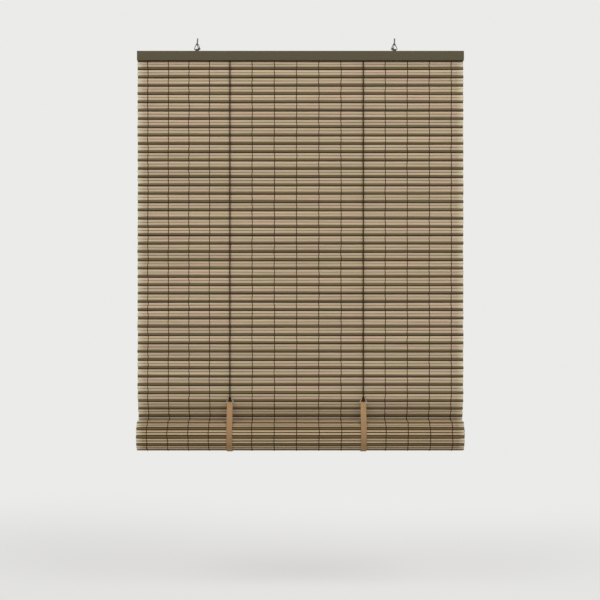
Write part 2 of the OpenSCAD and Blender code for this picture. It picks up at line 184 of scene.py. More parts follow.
def buildFloor():
    bm = bmesh.new()
    bmesh.ops.create_grid(bm, x_segments=1, y_segments=1, size=floorPlan["size"])
    bmesh.ops.translate(bm, vec=(0, 0, floorPlan["z"] * mm), verts=bm.verts)
    mesh = asMesh("studioFloor", bm)
    floor = bpy.data.objects.new("studioFloor", mesh)
    scene.collection.objects.link(floor)
    material = bpy.data.materials.new("paleFloor")
    material.use_nodes = True
    tree = material.node_tree
    tree.nodes.clear()
    coord = addNode(tree, "ShaderNodeTexCoord")
    away = addNode(tree, "ShaderNodeVectorMath", operation="LENGTH")
    fade = mapRange(tree, away.outputs["Value"], floorPlan["fade"], interpolation_type="SMOOTHSTEP")
    matte = addNode(tree, "ShaderNodeBsdfDiffuse", {"Color": floorPlan["color"]})
    glow = addNode(tree, "ShaderNodeEmission", {"Color": viewPlan["backdrop"], "Strength": 1})
    mix = addNode(tree, "ShaderNodeMixShader")
    out = addNode(tree, "ShaderNodeOutputMaterial")
    wire(tree, (coord.outputs["Object"], away.inputs[0]),
         (math2(tree, "MULTIPLY", fade, seenRays(tree)), mix.inputs["Fac"]),
         (matte.outputs[0], mix.inputs[1]), (glow.outputs[0], mix.inputs[2]), (mix.outputs[0], out.inputs["Surface"]))
    mesh.materials.append(material)


placeCamera()
placeLamps()
buildWorld()
buildFloor()
print("stage: camera, lamps and floor are set")


# helpers for pieces: rings that are pulled along a route, and the piece itself

def asPiece(name, bm, materials, body, replaced=(), crease=None):
    mesh = asMesh(name, bm)
    for polygon in mesh.polygons:
        polygon.use_smooth = True
    if crease:
        mesh.set_sharp_from_angle(angle=math.radians(crease))
    for material in materials:
        mesh.materials.append(material)
    piece = bpy.data.objects.new(name, mesh)
    scene.collection.objects.link(piece)
    if body:
        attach(piece, body)
    if replaced:
        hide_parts(*replaced)
    return piece


def sweepMesh():
    bm = bmesh.new()
    bm.verts.layers.float.new("along")
    bm.verts.layers.float.new("across")
    return bm


def pullEdges(bm, edges):
    # extrudes a loop and returns the new vertices and edges
    made = bmesh.ops.extrude_edge_only(bm, edges=edges)["geom"]
    return ([item for item in made if isinstance(item, bmesh.types.BMVert)],
            [item for item in made if isinstance(item, bmesh.types.BMEdge)])


def sweepRing(bm, ring, stations, lengths, closed=False):
    # pulls a ring of vertices through the stations; along and across are kept for the weave and the strings' sway
    along, across = bm.verts.layers.float["along"], bm.verts.layers.float["across"]
    for vert in ring:
        vert[across] = vert.co.x
        vert[along] = lengths[0]
    edges = list({edge for vert in ring for edge in vert.link_edges})
    firstEdges = edges
    bmesh.ops.transform(bm, matrix=stations[0], verts=ring)
    if not closed:
        bmesh.ops.contextual_create(bm, geom=edges)
    for before, now, length in zip(stations, stations[1:], lengths[1:]):
        verts, edges = pullEdges(bm, edges)
        bmesh.ops.transform(bm, matrix=now @ before.inverted(), verts=verts)
        for vert in verts:
            vert[along] = length
    if closed:
        bmesh.ops.bridge_loops(bm, edges=firstEdges + edges)
    else:
        bmesh.ops.contextual_create(bm, geom=edges)
    bmesh.ops.recalc_face_normals(bm, faces=bm.faces)


tapeEdge = {"across": 0.35, "through": 0.5}  # powers that square up a circle


def tapeRing(bm, width, thickness, sides):
    # flat ring with round edges, across X
    ring = bmesh.ops.create_circle(bm, segments=sides, radius=1)["verts"]
    bmesh.ops.rotate(bm, matrix=Matrix.Rotation(math.pi / sides, 3, "Z"), verts=ring)
    for vert in ring:
        vert.co.x = math.copysign(abs(vert.co.x) ** tapeEdge["across"], vert.co.x)
        vert.co.y = math.copysign(abs(vert.co.y) ** tapeEdge["through"], vert.co.y)
    bmesh.ops.scale(bm, vec=(width / 2 * mm, thickness / 2 * mm, 1), verts=ring)
    return ring


def roundRing(bm, radius, sides):
    return bmesh.ops.create_circle(bm, segments=sides, radius=radius * mm)["verts"]


def copyInto(bm, mesh, matrix):
    mesh.transform(matrix)
    bm.from_mesh(mesh)
    mesh.transform(matrix.inverted())


def runLengths(points):
    total, lengths = 0, [0]
    for a, b in zip(points, points[1:]):
        total += math.dist(a, b)
        lengths.append(total)
    return lengths


# the mat's route: down from the headrail, back over a bend, behind the roll and wound inwards

matPlan = {
    "y": -42, "middle": 11, "width": 762, "length": 1829,
    "railTop": -15, "inset": 8.4, "pitch": 6.485, "thickness": 2.4,
    "rollY": -44, "rollZ": -913.5, "rollRadius": 37.3, "turnPitch": 3.9,
    "bendRise": 97, "bendRadius": 30, "upperSlats": 11,
    "tieX": (-154, 158), "stringMargin": 26, "stringShift": -2, "stringsBeyond": 4, "stringsBetween": 5,
}
ties = tuple(zip(("Left", "Right"), matPlan["tieX"]))
bandRadius = matPlan["rollRadius"] - matPlan["thickness"] / 2
bendReach = matPlan["bendRadius"] + matPlan["y"] - matPlan["rollY"]
bendTilt = math.atan2(matPlan["bendRise"], bendReach) - math.acos(
    (matPlan["bendRadius"] + bandRadius) / math.hypot(bendReach, matPlan["bendRise"]))
bendZ = matPlan["rollZ"] + matPlan["bendRise"]
hangLength = matPlan["railTop"] - bendZ
bendLength = matPlan["bendRadius"] * bendTilt
slopeLength = (matPlan["bendRise"] - (matPlan["bendRadius"] + bandRadius) * math.sin(bendTilt)) / math.cos(bendTilt)
windStart = hangLength + bendLength + slopeLength
slatsStraight = int((hangLength - matPlan["inset"]) / matPlan["pitch"]) + 1
slatsHung = int((windStart - matPlan["inset"]) / matPlan["pitch"]) + 1
slatsAll = int((matPlan["length"] - matPlan["inset"]) / matPlan["pitch"])


def slatPlace(i):
    return matPlan["inset"] + i * matPlan["pitch"]


def matPoint(s, off=0):
    # y, z and tilt of the mat's middle, or of a line that is off it towards the back
    if s <= hangLength:
        y, z, tilt = matPlan["y"], matPlan["railTop"] - s, 0
    elif s <= windStart:
        tilt = min((s - hangLength) / matPlan["bendRadius"], bendTilt)
        down = max(s - hangLength - bendLength, 0)
        y = matPlan["y"] + matPlan["bendRadius"] * (1 - math.cos(tilt)) + down * math.sin(tilt)
        z = bendZ - matPlan["bendRadius"] * math.sin(tilt) - down * math.cos(tilt)
    else:
        wound = matPlan["turnPitch"] * (s - windStart) / math.pi
        turn = (bandRadius - math.sqrt(bandRadius ** 2 - wound)) / matPlan["turnPitch"]
        tilt = bendTilt - turn * 2 * math.pi
        radius = bandRadius - matPlan["turnPitch"] * turn
        y = matPlan["rollY"] + radius * math.cos(tilt)
        z = matPlan["rollZ"] + radius * math.sin(tilt)
    return y + off * math.cos(tilt), z + off * math.sin(tilt), tilt


def matStation(x, s, off=0):
    y, z, tilt = matPoint(s, off)
    return Matrix.Translation(Vector((x, y, z)) * mm) @ Matrix.Rotation(tilt, 4, "X")


def stringColumns():
    middle = matPlan["middle"] + matPlan["stringShift"]
    left = middle - matPlan["width"] / 2 + matPlan["stringMargin"]
    right = middle + matPlan["width"] / 2 - matPlan["stringMargin"]
    stops = [(left, matPlan["stringsBeyond"]), (matPlan["tieX"][0], matPlan["stringsBetween"] + 1),
             (matPlan["tieX"][1], matPlan["stringsBeyond"]), (right, 1)]
    columns = []
    for (a, count), (b, _) in zip(stops, stops[1:]):
        columns += [a + (b - a) * k / count for k in range(count)]
    return columns + [right]


# materials

def newMaterial(name, **values):
    material = bpy.data.materials.new(name)
    material.use_nodes = True
    tree = material.node_tree
    tree.nodes.clear()
    shader = addNode(tree, "ShaderNodeBsdfPrincipled", values)
    out = addNode(tree, "ShaderNodeOutputMaterial")
    wire(tree, (shader.outputs[0], out.inputs["Surface"]))
    return material, tree, shader


def sockets(kind, *titles):
    return [(title, "NodeSocket" + kind) for title in titles]


def newGroup(name, inputs, outputs):
    group = bpy.data.node_groups.new(name, "ShaderNodeTree")
    for title, kind in inputs:
        group.interface.new_socket(title, in_out="INPUT", socket_type=kind)
    for title, kind in outputs:
        group.interface.new_socket(title, in_out="OUTPUT", socket_type=kind)
    return group, addNode(group, "NodeGroupInput").outputs, addNode(group, "NodeGroupOutput").inputs


def useGroup(tree, group, values):
    return addNode(tree, "ShaderNodeGroup", values, node_tree=group).outputs


def mixColor(tree, factor, a, b):
    node = addNode(tree, "ShaderNodeMix", data_type="RGBA")
    feed(tree, ((node.inputs[0], factor), (node.inputs[6], a), (node.inputs[7], b)))
    return node.outputs[2]


def scaleColor(tree, color, level):
    node = addNode(tree, "ShaderNodeVectorMath", operation="SCALE")
    wire(tree, (color, node.inputs[0]), (level, node.inputs["Scale"]))
    return node.outputs[0]


def readAttribute(tree, name):
    return addNode(tree, "ShaderNodeAttribute", attribute_name=name).outputs["Fac"]


def flatVector(tree, x, y):
    node = addNode(tree, "ShaderNodeCombineXYZ")
    wire(tree, (x, node.inputs["X"]), (y, node.inputs["Y"]))
    return node.outputs[0]


def addNoise(tree, vector, values):
    noise = addNode(tree, "ShaderNodeTexNoise", values)
    wire(tree, (vector, noise.inputs["Vector"]))
    return noise.outputs[0]


def stretchedNoise(tree, scale, values):
    coord = addNode(tree, "ShaderNodeTexCoord")
    stretch = addNode(tree, "ShaderNodeMapping", {"Scale": scale})
    wire(tree, (coord.outputs["Object"], stretch.inputs[0]))
    return addNoise(tree, stretch.outputs[0], values)


def addBump(tree, shader, height, bump):
    # bump is a strength and a height in metres
    node = addNode(tree, "ShaderNodeBump", {"Strength": bump[0], "Distance": bump[1]})
    wire(tree, (height, node.inputs["Height"]), (node.outputs[0], shader.inputs["Normal"]))


def srgb(r, g, b):
    def linear(c):
        c /= 255
        return c / 12.92 if c <= 0.04045 else ((c + 0.055) / 1.055) ** 2.4
    return (linear(r), linear(g), linear(b), 1)


noiseRange = {"From Min": 0.3, "From Max": 0.7}  # where most of a noise lies
tonePlan = {
    "driftAlong": 9.0, "driftApart": 71.0, "drift": {"Scale": 1.0, "Detail": 2.5, "Roughness": 0.6},
    "warm": {"From Min": 0.5, "From Max": 0.72}, "olive": {"From Min": 0.5, "From Max": 0.28},
    "grainAlong": 4.5, "grainAcross": 1500.0, "streakAcross": 430.0,
    "grain": {"Scale": 1.0, "Detail": 3.0, "Roughness": 0.6}, "grainShare": 0.5, "streakMean": 0.75,
    "toneMean": 0.5, "toneLight": 0.16, "upperPower": 9.0, "darkest": 0.04,
    "paleFrom": 16, "paleFull": 1, "paleGain": 2.0,  # from the slat's end
    "rough": {**noiseRange, "To Min": 0.46, "To Max": 0.66},
}


def buildSlatTones():
    # drawn vinyl: each slat has its own tone, drifts along its length and is streaked; shade is painted at its lips,
    # where the grooves between slats fall dark, and light is painted at its cut ends
    group, given, out = newGroup(
        "slatTones",
        sockets("Color", "Main", "Warm", "Olive", "EndLight")
        + sockets("Float", "Drift", "Streak", "LowerShade", "UpperShade", "Lip", "Deep", "Pale"),
        sockets("Color", "Color") + sockets("Float", "Rough", "Height"))
    coord = addNode(group, "ShaderNodeTexCoord")
    split = addNode(group, "ShaderNodeSeparateXYZ")
    wire(group, (coord.outputs["Object"], split.inputs[0]))
    x, tone, edge = split.outputs["X"], readAttribute(group, "slatTone"), readAttribute(group, "slatEdge")
    lane = flatVector(group, math2(group, "MULTIPLY", x, tonePlan["driftAlong"]),
                      math2(group, "MULTIPLY", tone, tonePlan["driftApart"]))
    drift = addNoise(group, lane, tonePlan["drift"])
    warm, olive = (math2(group, "MULTIPLY", mapRange(group, drift, tonePlan[kind]), given["Drift"])
                   for kind in ("warm", "olive"))
    warmed = mixColor(group, warm, given["Main"], given["Warm"])
    greened = mixColor(group, olive, warmed, given["Olive"])
    grain, broad = (stretchedNoise(group, (tonePlan["grainAlong"], across, across), tonePlan["grain"])
                    for across in (tonePlan["grainAcross"], tonePlan["streakAcross"]))
    streaks = math2(group, "ADD", math2(group, "MULTIPLY", grain, tonePlan["grainShare"]), broad)
    streak = math2(group, "MULTIPLY", math2(group, "SUBTRACT", streaks, tonePlan["streakMean"]), given["Streak"])
    ownLight = math2(group, "MULTIPLY", math2(group, "SUBTRACT", tone, tonePlan["toneMean"]), tonePlan["toneLight"])
    # painted shade at both lips: the lower lip's shade fades in between Lip and Deep, the upper lip's follows a steep
    # power of the edge
    lip = addNode(group, "ShaderNodeMapRange", interpolation_type="SMOOTHSTEP")
    wire(group, (edge, lip.inputs["Value"]), (given["Lip"], lip.inputs["From Min"]),
         (given["Deep"], lip.inputs["From Max"]))
    low = math2(group, "MULTIPLY", lip.outputs[0], given["LowerShade"])
    brow = math2(group, "POWER", math2(group, "SUBTRACT", 1.0, edge), tonePlan["upperPower"])
    high = math2(group, "MULTIPLY", brow, given["UpperShade"])
    light = math2(group, "ADD", math2(group, "ADD", streak, ownLight), 1.0)
    level = math2(group, "SUBTRACT", light, math2(group, "ADD", low, high))
    leveled = scaleColor(group, greened, math2(group, "MAXIMUM", level, tonePlan["darkest"]))
    # painted light: the cut ends and the last 16 mm of each slat are lightened in streaks, where light comes through
    # and round the ends
    half = matPlan["width"] / 2 * mm
    aside = math2(group, "ABSOLUTE", math2(group, "SUBTRACT", x, matPlan["middle"] * mm))
    ends = mapRange(group, aside, {"From Min": half - tonePlan["paleFrom"] * mm,
                                   "From Max": half - tonePlan["paleFull"] * mm})
    pale = math2(group, "MULTIPLY", math2(group, "MULTIPLY", ends, given["Pale"]),
                 math2(group, "MULTIPLY", broad, tonePlan["paleGain"]), True)
    wire(group, (mixColor(group, pale, leveled, given["EndLight"]), out["Color"]),
         (mapRange(group, grain, tonePlan["rough"]), out["Rough"]), (grain, out["Height"]))
    return group


strapTones = {"low": srgb(140, 110, 77), "high": srgb(186, 150, 110)}
weavePlan = {
    "pitch": 0.0011, "checkShare": 0.7, "twillShare": 0.3,  # pitch in metres
    "yarnAlong": 60.0, "yarnAcross": 900.0, "yarn": {"Scale": 1.0, "Detail": 3.0}, "yarnShare": 0.5, "heightShare": 0.5,
    "look": {"Roughness": 0.88, "Specular IOR Level": 0.1}, "bump": (0.8, 0.0003),
    # the strap's painted light and shade, set by metres along it
    "paintedLightAlong": {"From Min": 0.03, "From Max": 0.13, "To Min": 1.16, "To Max": 0.83},  # metres along the strap
}


def buildYarnWeave():
    # plain weave drawn on along and across, for straps and tapes
    group, given, out = newGroup("yarnWeave", sockets("Float", "Pitch"), sockets("Float", "Height", "Shade"))
    along, across = readAttribute(group, "along"), readAttribute(group, "across")
    turn = math2(group, "DIVIDE", math.pi, given["Pitch"])
    a, c = math2(group, "MULTIPLY", along, turn), math2(group, "MULTIPLY", across, turn)
    check = math2(group, "ABSOLUTE", math2(group, "MULTIPLY", math2(group, "SINE", a), math2(group, "SINE", c)))
    twill = math2(group, "ABSOLUTE", math2(group, "SINE", math2(group, "ADD", a, c)))
    height = math2(group, "ADD", math2(group, "MULTIPLY", check, weavePlan["checkShare"]),
                   math2(group, "MULTIPLY", twill, weavePlan["twillShare"]))
    lane = flatVector(group, math2(group, "MULTIPLY", along, weavePlan["yarnAlong"]),
                      math2(group, "MULTIPLY", across, weavePlan["yarnAcross"]))
    yarn = addNoise(group, lane, weavePlan["yarn"])
    shade = math2(group, "ADD", math2(group, "MULTIPLY", yarn, weavePlan["yarnShare"]),
                  math2(group, "MULTIPLY", height, weavePlan["heightShare"]))
    wire(group, (height, out["Height"]), (shade, out["Shade"]))
    return group


mottleDetail = {"patches": 3.0, "specks": 2.0}


def buildMottle():
    # soft patches and fine specks, for paint, metal and yarn
    group, given, out = newGroup("mottle", sockets("Float", "Patch", "Speck"), sockets("Float", "Patches", "Specks"))
    coord = addNode(group, "ShaderNodeTexCoord")
    patches = addNode(group, "ShaderNodeTexNoise", {"Detail": mottleDetail["patches"]})
    specks = addNode(group, "ShaderNodeTexNoise", {"Detail": mottleDetail["specks"]})
    wire(group, (coord.outputs["Object"], patches.inputs["Vector"]), (coord.outputs["Object"], specks.inputs["Vector"]),
         (given["Patch"], patches.inputs["Scale"]), (given["Speck"], specks.inputs["Scale"]),
         (patches.outputs[0], out["Patches"]), (specks.outputs[0], out["Specks"]))
    return group


slatTones = buildSlatTones()
yarnWeave = buildYarnWeave()
mottle = buildMottle()

vinylLook = {"specular": 0.2, "bump": (0.25, 0.0002)}
# each slat colour carries painted shade at its lips and painted light at its cut ends
vinylPlan = {
    "tan": {"Main": srgb(188, 168, 140), "Warm": srgb(194, 163, 140), "Olive": srgb(182, 168, 131),
            "EndLight": srgb(216, 206, 178), "Drift": 0.78, "Streak": 0.8, "LowerShade": 0.75, "UpperShade": 0.4,
            "Lip": 0.7, "Deep": 1.0, "Pale": 0.7},
    "dark": {"Main": srgb(109, 92, 61), "Warm": srgb(108, 85, 60), "Olive": srgb(106, 95, 59),
             "EndLight": srgb(128, 112, 86), "Drift": 0.9, "Streak": 0.7, "LowerShade": 0.9, "UpperShade": 0.3,
             "Lip": 0.34, "Deep": 0.8, "Pale": 0.2},
}
woundShadePlan = {  # painted shade: what is rolled up is darker and warmer, most of all between the turns, where the roll lies in its own shade
    "tan": {"Main": srgb(186, 162, 127), "Warm": srgb(192, 158, 127), "Olive": srgb(180, 162, 120),
            "LowerShade": 0.9, "UpperShade": 0.85},
    "dark": {"LowerShade": 0.92, "UpperShade": 0.95, "Lip": 0.6, "Deep": 1.0},
}


def vinylMaterial(name, plan):
    material, tree, shader = newMaterial(name, **{"Specular IOR Level": vinylLook["specular"]})
    tones = useGroup(tree, slatTones, plan)
    wire(tree, (tones["Color"], shader.inputs["Base Color"]), (tones["Rough"], shader.inputs["Roughness"]))
    addBump(tree, shader, tones["Height"], vinylLook["bump"])
    return material


def mottledMaterial(name, low, high, patch, speck, rough, bump, metallic=0.0, specular=0.5):
    material, tree, shader = newMaterial(name, **{"Metallic": metallic, "Specular IOR Level": specular})
    marks = useGroup(tree, mottle, {"Patch": patch, "Speck": speck})
    roughness = mapRange(tree, marks["Specks"], {**noiseRange, "To Min": rough[0], "To Max": rough[1]})
    wire(tree, (mixColor(tree, marks["Patches"], low, high), shader.inputs["Base Color"]),
         (roughness, shader.inputs["Roughness"]))
    addBump(tree, shader, marks["Specks"], bump)
    return material


def weaveMaterial(name, low, high, paintedLightAlong=None):
    material, tree, shader = newMaterial(name, **weavePlan["look"])
    weave = useGroup(tree, yarnWeave, {"Pitch": weavePlan["pitch"]})
    colour = mixColor(tree, weave["Shade"], low, high)
    if paintedLightAlong:  # painted light at the top and painted shade further along, where the strap turns under the roll
        colour = scaleColor(tree, colour, mapRange(tree, readAttribute(tree, "along"), paintedLightAlong))
    wire(tree, (colour, shader.inputs["Base Color"]))
    addBump(tree, shader, weave["Height"], weavePlan["bump"])
    return material


woodPlan = {"low": srgb(178, 140, 96), "high": srgb(212, 178, 132), "rough": 0.6, "stretch": (6.0, 260.0, 260.0),
            "grain": {"Scale": 1.0, "Detail": 5.0, "Distortion": 0.6}, "bump": (0.3, 0.0003)}


def woodMaterial(name):
    material, tree, shader = newMaterial(name, Roughness=woodPlan["rough"])
    grain = stretchedNoise(tree, woodPlan["stretch"], woodPlan["grain"])
    wire(tree, (mixColor(tree, grain, woodPlan["low"], woodPlan["high"]), shader.inputs["Base Color"]))
    addBump(tree, shader, grain, woodPlan["bump"])
    return material


zinc = {"patch": 220, "speck": 2600, "bump": (0.1, 0.0001), "metallic": 1.0}
yarn = {"rough": (0.8, 0.95), "bump": (0.6, 0.0002), "specular": 0.1}
mottlePlan = {
    "railPaint": {"low": srgb(86, 75, 60), "high": srgb(84, 81, 59), "patch": 18, "speck": 900,
                  "rough": (0.45, 0.6), "bump": (0.12, 0.0002), "specular": 0.12},
    "capPlastic": {"low": srgb(84, 79, 64), "high": srgb(95, 89, 73), "patch": 60, "speck": 1400,
                   "rough": (0.45, 0.6), "bump": (0.15, 0.0002), "specular": 0.3},
    "hookZinc": {**zinc, "low": srgb(76, 76, 75), "high": srgb(106, 106, 104), "rough": (0.3, 0.48)},
    "hangerZinc": {**zinc, "low": srgb(92, 92, 91), "high": srgb(126, 126, 124), "rough": (0.3, 0.48)},
    "slingZinc": {**zinc, "low": srgb(164, 164, 160), "high": srgb(198, 198, 194), "rough": (0.25, 0.4)},
    # the saddles' own dark steel, darkened further as painted shadow at the foot of each hanger ring
    "saddleSteel": {"low": srgb(56, 56, 55), "high": srgb(78, 78, 76), "patch": 180, "speck": 2400,
                    "rough": (0.4, 0.6), "bump": (0.12, 0.0001), "metallic": 0.6, "specular": 0.3},
    "stringYarn": {**yarn, "low": srgb(44, 30, 13), "high": srgb(66, 47, 24), "patch": 700, "speck": 4000},
    "cordYarn": {**yarn, "low": srgb(46, 31, 14), "high": srgb(68, 49, 25), "patch": 500, "speck": 4200},
    "seamThread": {"low": srgb(120, 92, 62), "high": srgb(150, 118, 84), "patch": 600, "speck": 4200,
                   "rough": (0.75, 0.9), "bump": (0.5, 0.0002), "specular": 0.1},
}
finishes = {
    "tanVinyl": vinylMaterial("tanVinyl", vinylPlan["tan"]),
    "darkVinyl": vinylMaterial("darkVinyl", vinylPlan["dark"]),
    "woundTan": vinylMaterial("woundTan", {**vinylPlan["tan"], **woundShadePlan["tan"]}),
    "woundDark": vinylMaterial("woundDark", {**vinylPlan["dark"], **woundShadePlan["dark"]}),
    "strapWeave": weaveMaterial("strapWeave", **strapTones, paintedLightAlong=weavePlan["paintedLightAlong"]),
    "tapeWeave": weaveMaterial("tapeWeave", **strapTones),
    "bareWood": woodMaterial("bareWood"),
}
for name, plan in mottlePlan.items():
    finishes[name] = mottledMaterial(name, **plan)
print("stage: materials are made")


# lift cords: three twisted strands each, from the headrail's ledge to their rings

cordPlan = {"top": -23, "bottom": -822.7, "y": -46.65, "strands": 3, "strand": 0.74, "sides": 6, "lay": 0.66,
            "twist": 10, "steps": 12, "pathSteps": 30, "diameter": 2.8, "keep": 0.03}


def strandMesh():
    drop = cordPlan["top"] - cordPlan["bottom"]
    count = int(drop / cordPlan["twist"] * cordPlan["steps"])
    points = []
    for k in range(count + 1):
        turn = 2 * math.pi * k / cordPlan["steps"]
        points.append((cordPlan["lay"] * math.cos(turn) * mm, cordPlan["lay"] * math.sin(turn) * mm,
                       (cordPlan["top"] - drop * k / count) * mm))
    bm = sweepMesh()
    ring = roundRing(bm, cordPlan["strand"], cordPlan["sides"])
    sweepRing(bm, ring, [Matrix.Translation(p) for p in points], runLengths(points))
    return asMesh("strand", bm)


def buildCords():
    strand = strandMesh()
    for side, x in ties:
        bm = bmesh.new()
        place = Matrix.Translation(Vector((x, cordPlan["y"], 0)) * mm)
        for k in range(cordPlan["strands"]):
            copyInto(bm, strand, place @ Matrix.Rotation(2 * math.pi * k / cordPlan["strands"], 4, "Z"))
        cord = asPiece("liftCord" + side, bm, [finishes["cordYarn"]], "headrail",
                       ["front_cord_" + side.lower()])
        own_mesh(cord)
    bpy.data.meshes.remove(strand)


buildCords()
print("stage: lift cords are twisted")


# slats: hollow ovals, two tan and one dark

slatPlan = {
    "height": 6.9, "wall": 0.5, "sides": 10, "spans": 3, "hollow": 6, "repeat": 3, "crease": 75,
    "jitterX": 0.7, "jitterY": 0.12, "rise": 0.28, "twist": 2.2, "seed": 311, "seedStep": 17,
    "rolledTall": 0.83, "rolledLoose": 0.6,  # shares of the hung slats' height and play
}


def slatShape():
    # one long oval with open ends, in spans that can twist a little
    bm = bmesh.new()
    bm.verts.layers.float.new("slatTone")
    edge = bm.verts.layers.float.new("slatEdge")
    bmesh.ops.create_circle(bm, segments=slatPlan["sides"], radius=1)
    ring = bm.verts[:]
    quarter = math.radians(180 / slatPlan["sides"] + 90)
    bmesh.ops.rotate(bm, matrix=Matrix.Rotation(quarter, 3, "Z"), verts=ring)
    tip = max(vert.co.y for vert in ring)
    # slatEdge is the mask for the painted shade at the lips
    for vert in ring:
        vert[edge] = 0.5 - 0.5 * vert.co.y / tip  # 0 at the upper lip, 1 at the lower
    bmesh.ops.scale(bm, vec=(matPlan["thickness"] / 2 * mm, slatPlan["height"] / 2 / tip * mm, 1), verts=ring)
    lay = Matrix(((0, 0, 1, 0), (1, 0, 0, 0), (0, 1, 0, 0), (0, 0, 0, 1)))
    bmesh.ops.transform(bm, matrix=Matrix.Translation((-matPlan["width"] / 2 * mm, 0, 0)) @ lay, verts=ring)
    edges = bm.edges[:]
    firstEdges = edges
    for k in range(slatPlan["spans"]):
        ends, edges = pullEdges(bm, edges)
        bmesh.ops.translate(bm, vec=(matPlan["width"] / slatPlan["spans"] * mm, 0, 0), verts=ends)
    slim = Vector((1, 1 - 2 * slatPlan["wall"] / matPlan["thickness"], 1 - 2 * slatPlan["wall"] / slatPlan["height"]))
    for rim, inward in ((firstEdges, 1), (edges, -1)):
        # the cut end shows the wall and a short way into the hollow
        ends, rim = pullEdges(bm, rim)
        bmesh.ops.scale(bm, vec=slim, verts=ends)
        ends, rim = pullEdges(bm, rim)
        bmesh.ops.translate(bm, vec=(inward * slatPlan["hollow"] * mm, 0, 0), verts=ends)
        bmesh.ops.contextual_create(bm, geom=rim)
    bmesh.ops.recalc_face_normals(bm, faces=bm.faces)
    return bm


def isDark(i):
    return i % slatPlan["repeat"] == slatPlan["repeat"] - 1


def addSlat(bm, shape, i, loose=1.0, tall=1.0):
    dice = random.Random(slatPlan["seed"] + slatPlan["seedStep"] * i)
    slat = shape.copy()
    tone = slat.verts.layers.float["slatTone"]
    level = dice.random()
    bmesh.ops.scale(slat, vec=(1, 1, tall), verts=slat.verts)
    half = matPlan["width"] / 2 * mm
    stations = [[] for k in range(slatPlan["spans"] + 1)]
    for vert in slat.verts:
        vert[tone] = level
        stations[round((vert.co.x + half) / (2 * half) * slatPlan["spans"])].append(vert)
    for verts in stations:
        turn = math.radians(dice.uniform(-1, 1) * slatPlan["twist"] * loose)
        bmesh.ops.rotate(slat, cent=(0, 0, 0), matrix=Matrix.Rotation(turn, 3, "X"), verts=verts)
        bmesh.ops.translate(slat, vec=(0, dice.uniform(-1, 1) * slatPlan["jitterY"] * loose * mm,
                                       dice.uniform(-1, 1) * slatPlan["rise"] * loose * mm), verts=verts)
    shift = Matrix.Translation((dice.uniform(-1, 1) * slatPlan["jitterX"] * mm, 0, 0))
    bmesh.ops.transform(slat, matrix=matStation(matPlan["middle"], slatPlace(i)) @ shift, verts=slat.verts)
    mesh = asMesh("slat", slat)
    bm.from_mesh(mesh)
    bpy.data.meshes.remove(mesh)


gatherPlan = {"keep": 0.01, "hug": 20, "reach": 460.5}


def gatherMat(piece, span):
    # the lower span only gets its own mesh; the bend blends from the headrail to the ties, so it settles on the roll as
    # the roll rises
    if span == "lower":
        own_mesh(piece)
    elif span == "bend":
        low = matPlan["rollZ"] + gatherPlan["hug"]
        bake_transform(piece, "headrail", "ties", start=(0, 0, (low + gatherPlan["reach"]) * mm), end=(0, 0, low * mm))


def buildSlats():
    slat = slatShape()
    spans = {"upper": range(0, matPlan["upperSlats"]), "lower": range(matPlan["upperSlats"], slatsStraight),
             "bend": range(slatsStraight, slatsHung)}
    for span, indexes in spans.items():
        for dark in (False, True):
            colour = "dark" if dark else "tan"
            bm = bmesh.new()
            for i in indexes:
                if isDark(i) == dark:
                    addSlat(bm, slat, i)
            node = "%s_%s_slats" % ("upper" if span == "upper" else "lower", colour)
            piece = asPiece(span + colour.capitalize() + "Slats", bm, [finishes[colour + "Vinyl"]],
                            None if span == "bend" else "headrail", [node], slatPlan["crease"])
            gatherMat(piece, span)
    bm = bmesh.new()
    for i in range(slatsHung, slatsAll):
        first = len(bm.faces)
        addSlat(bm, slat, i, slatPlan["rolledLoose"], slatPlan["rolledTall"])
        bm.faces.ensure_lookup_table()
        if isDark(i):
            for face in bm.faces[first:]:
                face.material_index = 1
    asPiece("rolledSlats", bm, [finishes["woundTan"], finishes["woundDark"]], "roll",
            ["rolled_mat"], slatPlan["crease"])
    slat.free()


buildSlats()
print("stage: slats are hung and rolled")


# warp strings: they ride over each slat and dip into each gap

stringPlan = {"width": 1.7, "thickness": 0.7, "sides": 6, "crown": 1.4, "dip": 0.75, "sway": 0.9, "seed": 509,
              "hold": 0.22, "rolledSlats": 44}  # hold is the share of the pitch that lies on the slat, each way


def stringMesh(fromSlat, toSlat, side):
    crown, dip = stringPlan["crown"] * side, stringPlan["dip"] * side
    stops, offs = [], []
    for i in range(fromSlat, toSlat):
        stops += [slatPlace(i - 0.5), slatPlace(i - stringPlan["hold"]), slatPlace(i + stringPlan["hold"])]
        offs += [dip, crown, crown]
    stops.append(slatPlace(toSlat - 0.5))
    offs.append(dip)
    bm = sweepMesh()
    ring = tapeRing(bm, stringPlan["width"], stringPlan["thickness"], stringPlan["sides"])
    sweepRing(bm, ring, [matStation(0, s, off) for s, off in zip(stops, offs)], [s * mm for s in stops])
    return asMesh("string", bm)


def swayString(verts, along, column):
    # a string crosses each slat a little to one side of its column, at the front and the back alike
    dice = random.Random(stringPlan["seed"] + column)
    sways = [dice.uniform(-1, 1) * stringPlan["sway"] for i in range(slatsAll + 1)]
    for vert in verts:
        place = max((vert[along] / mm - matPlan["inset"]) / matPlan["pitch"], 0)
        above = int(place)
        vert.co.x += (sways[above] + (sways[above + 1] - sways[above]) * (place - above)) * mm


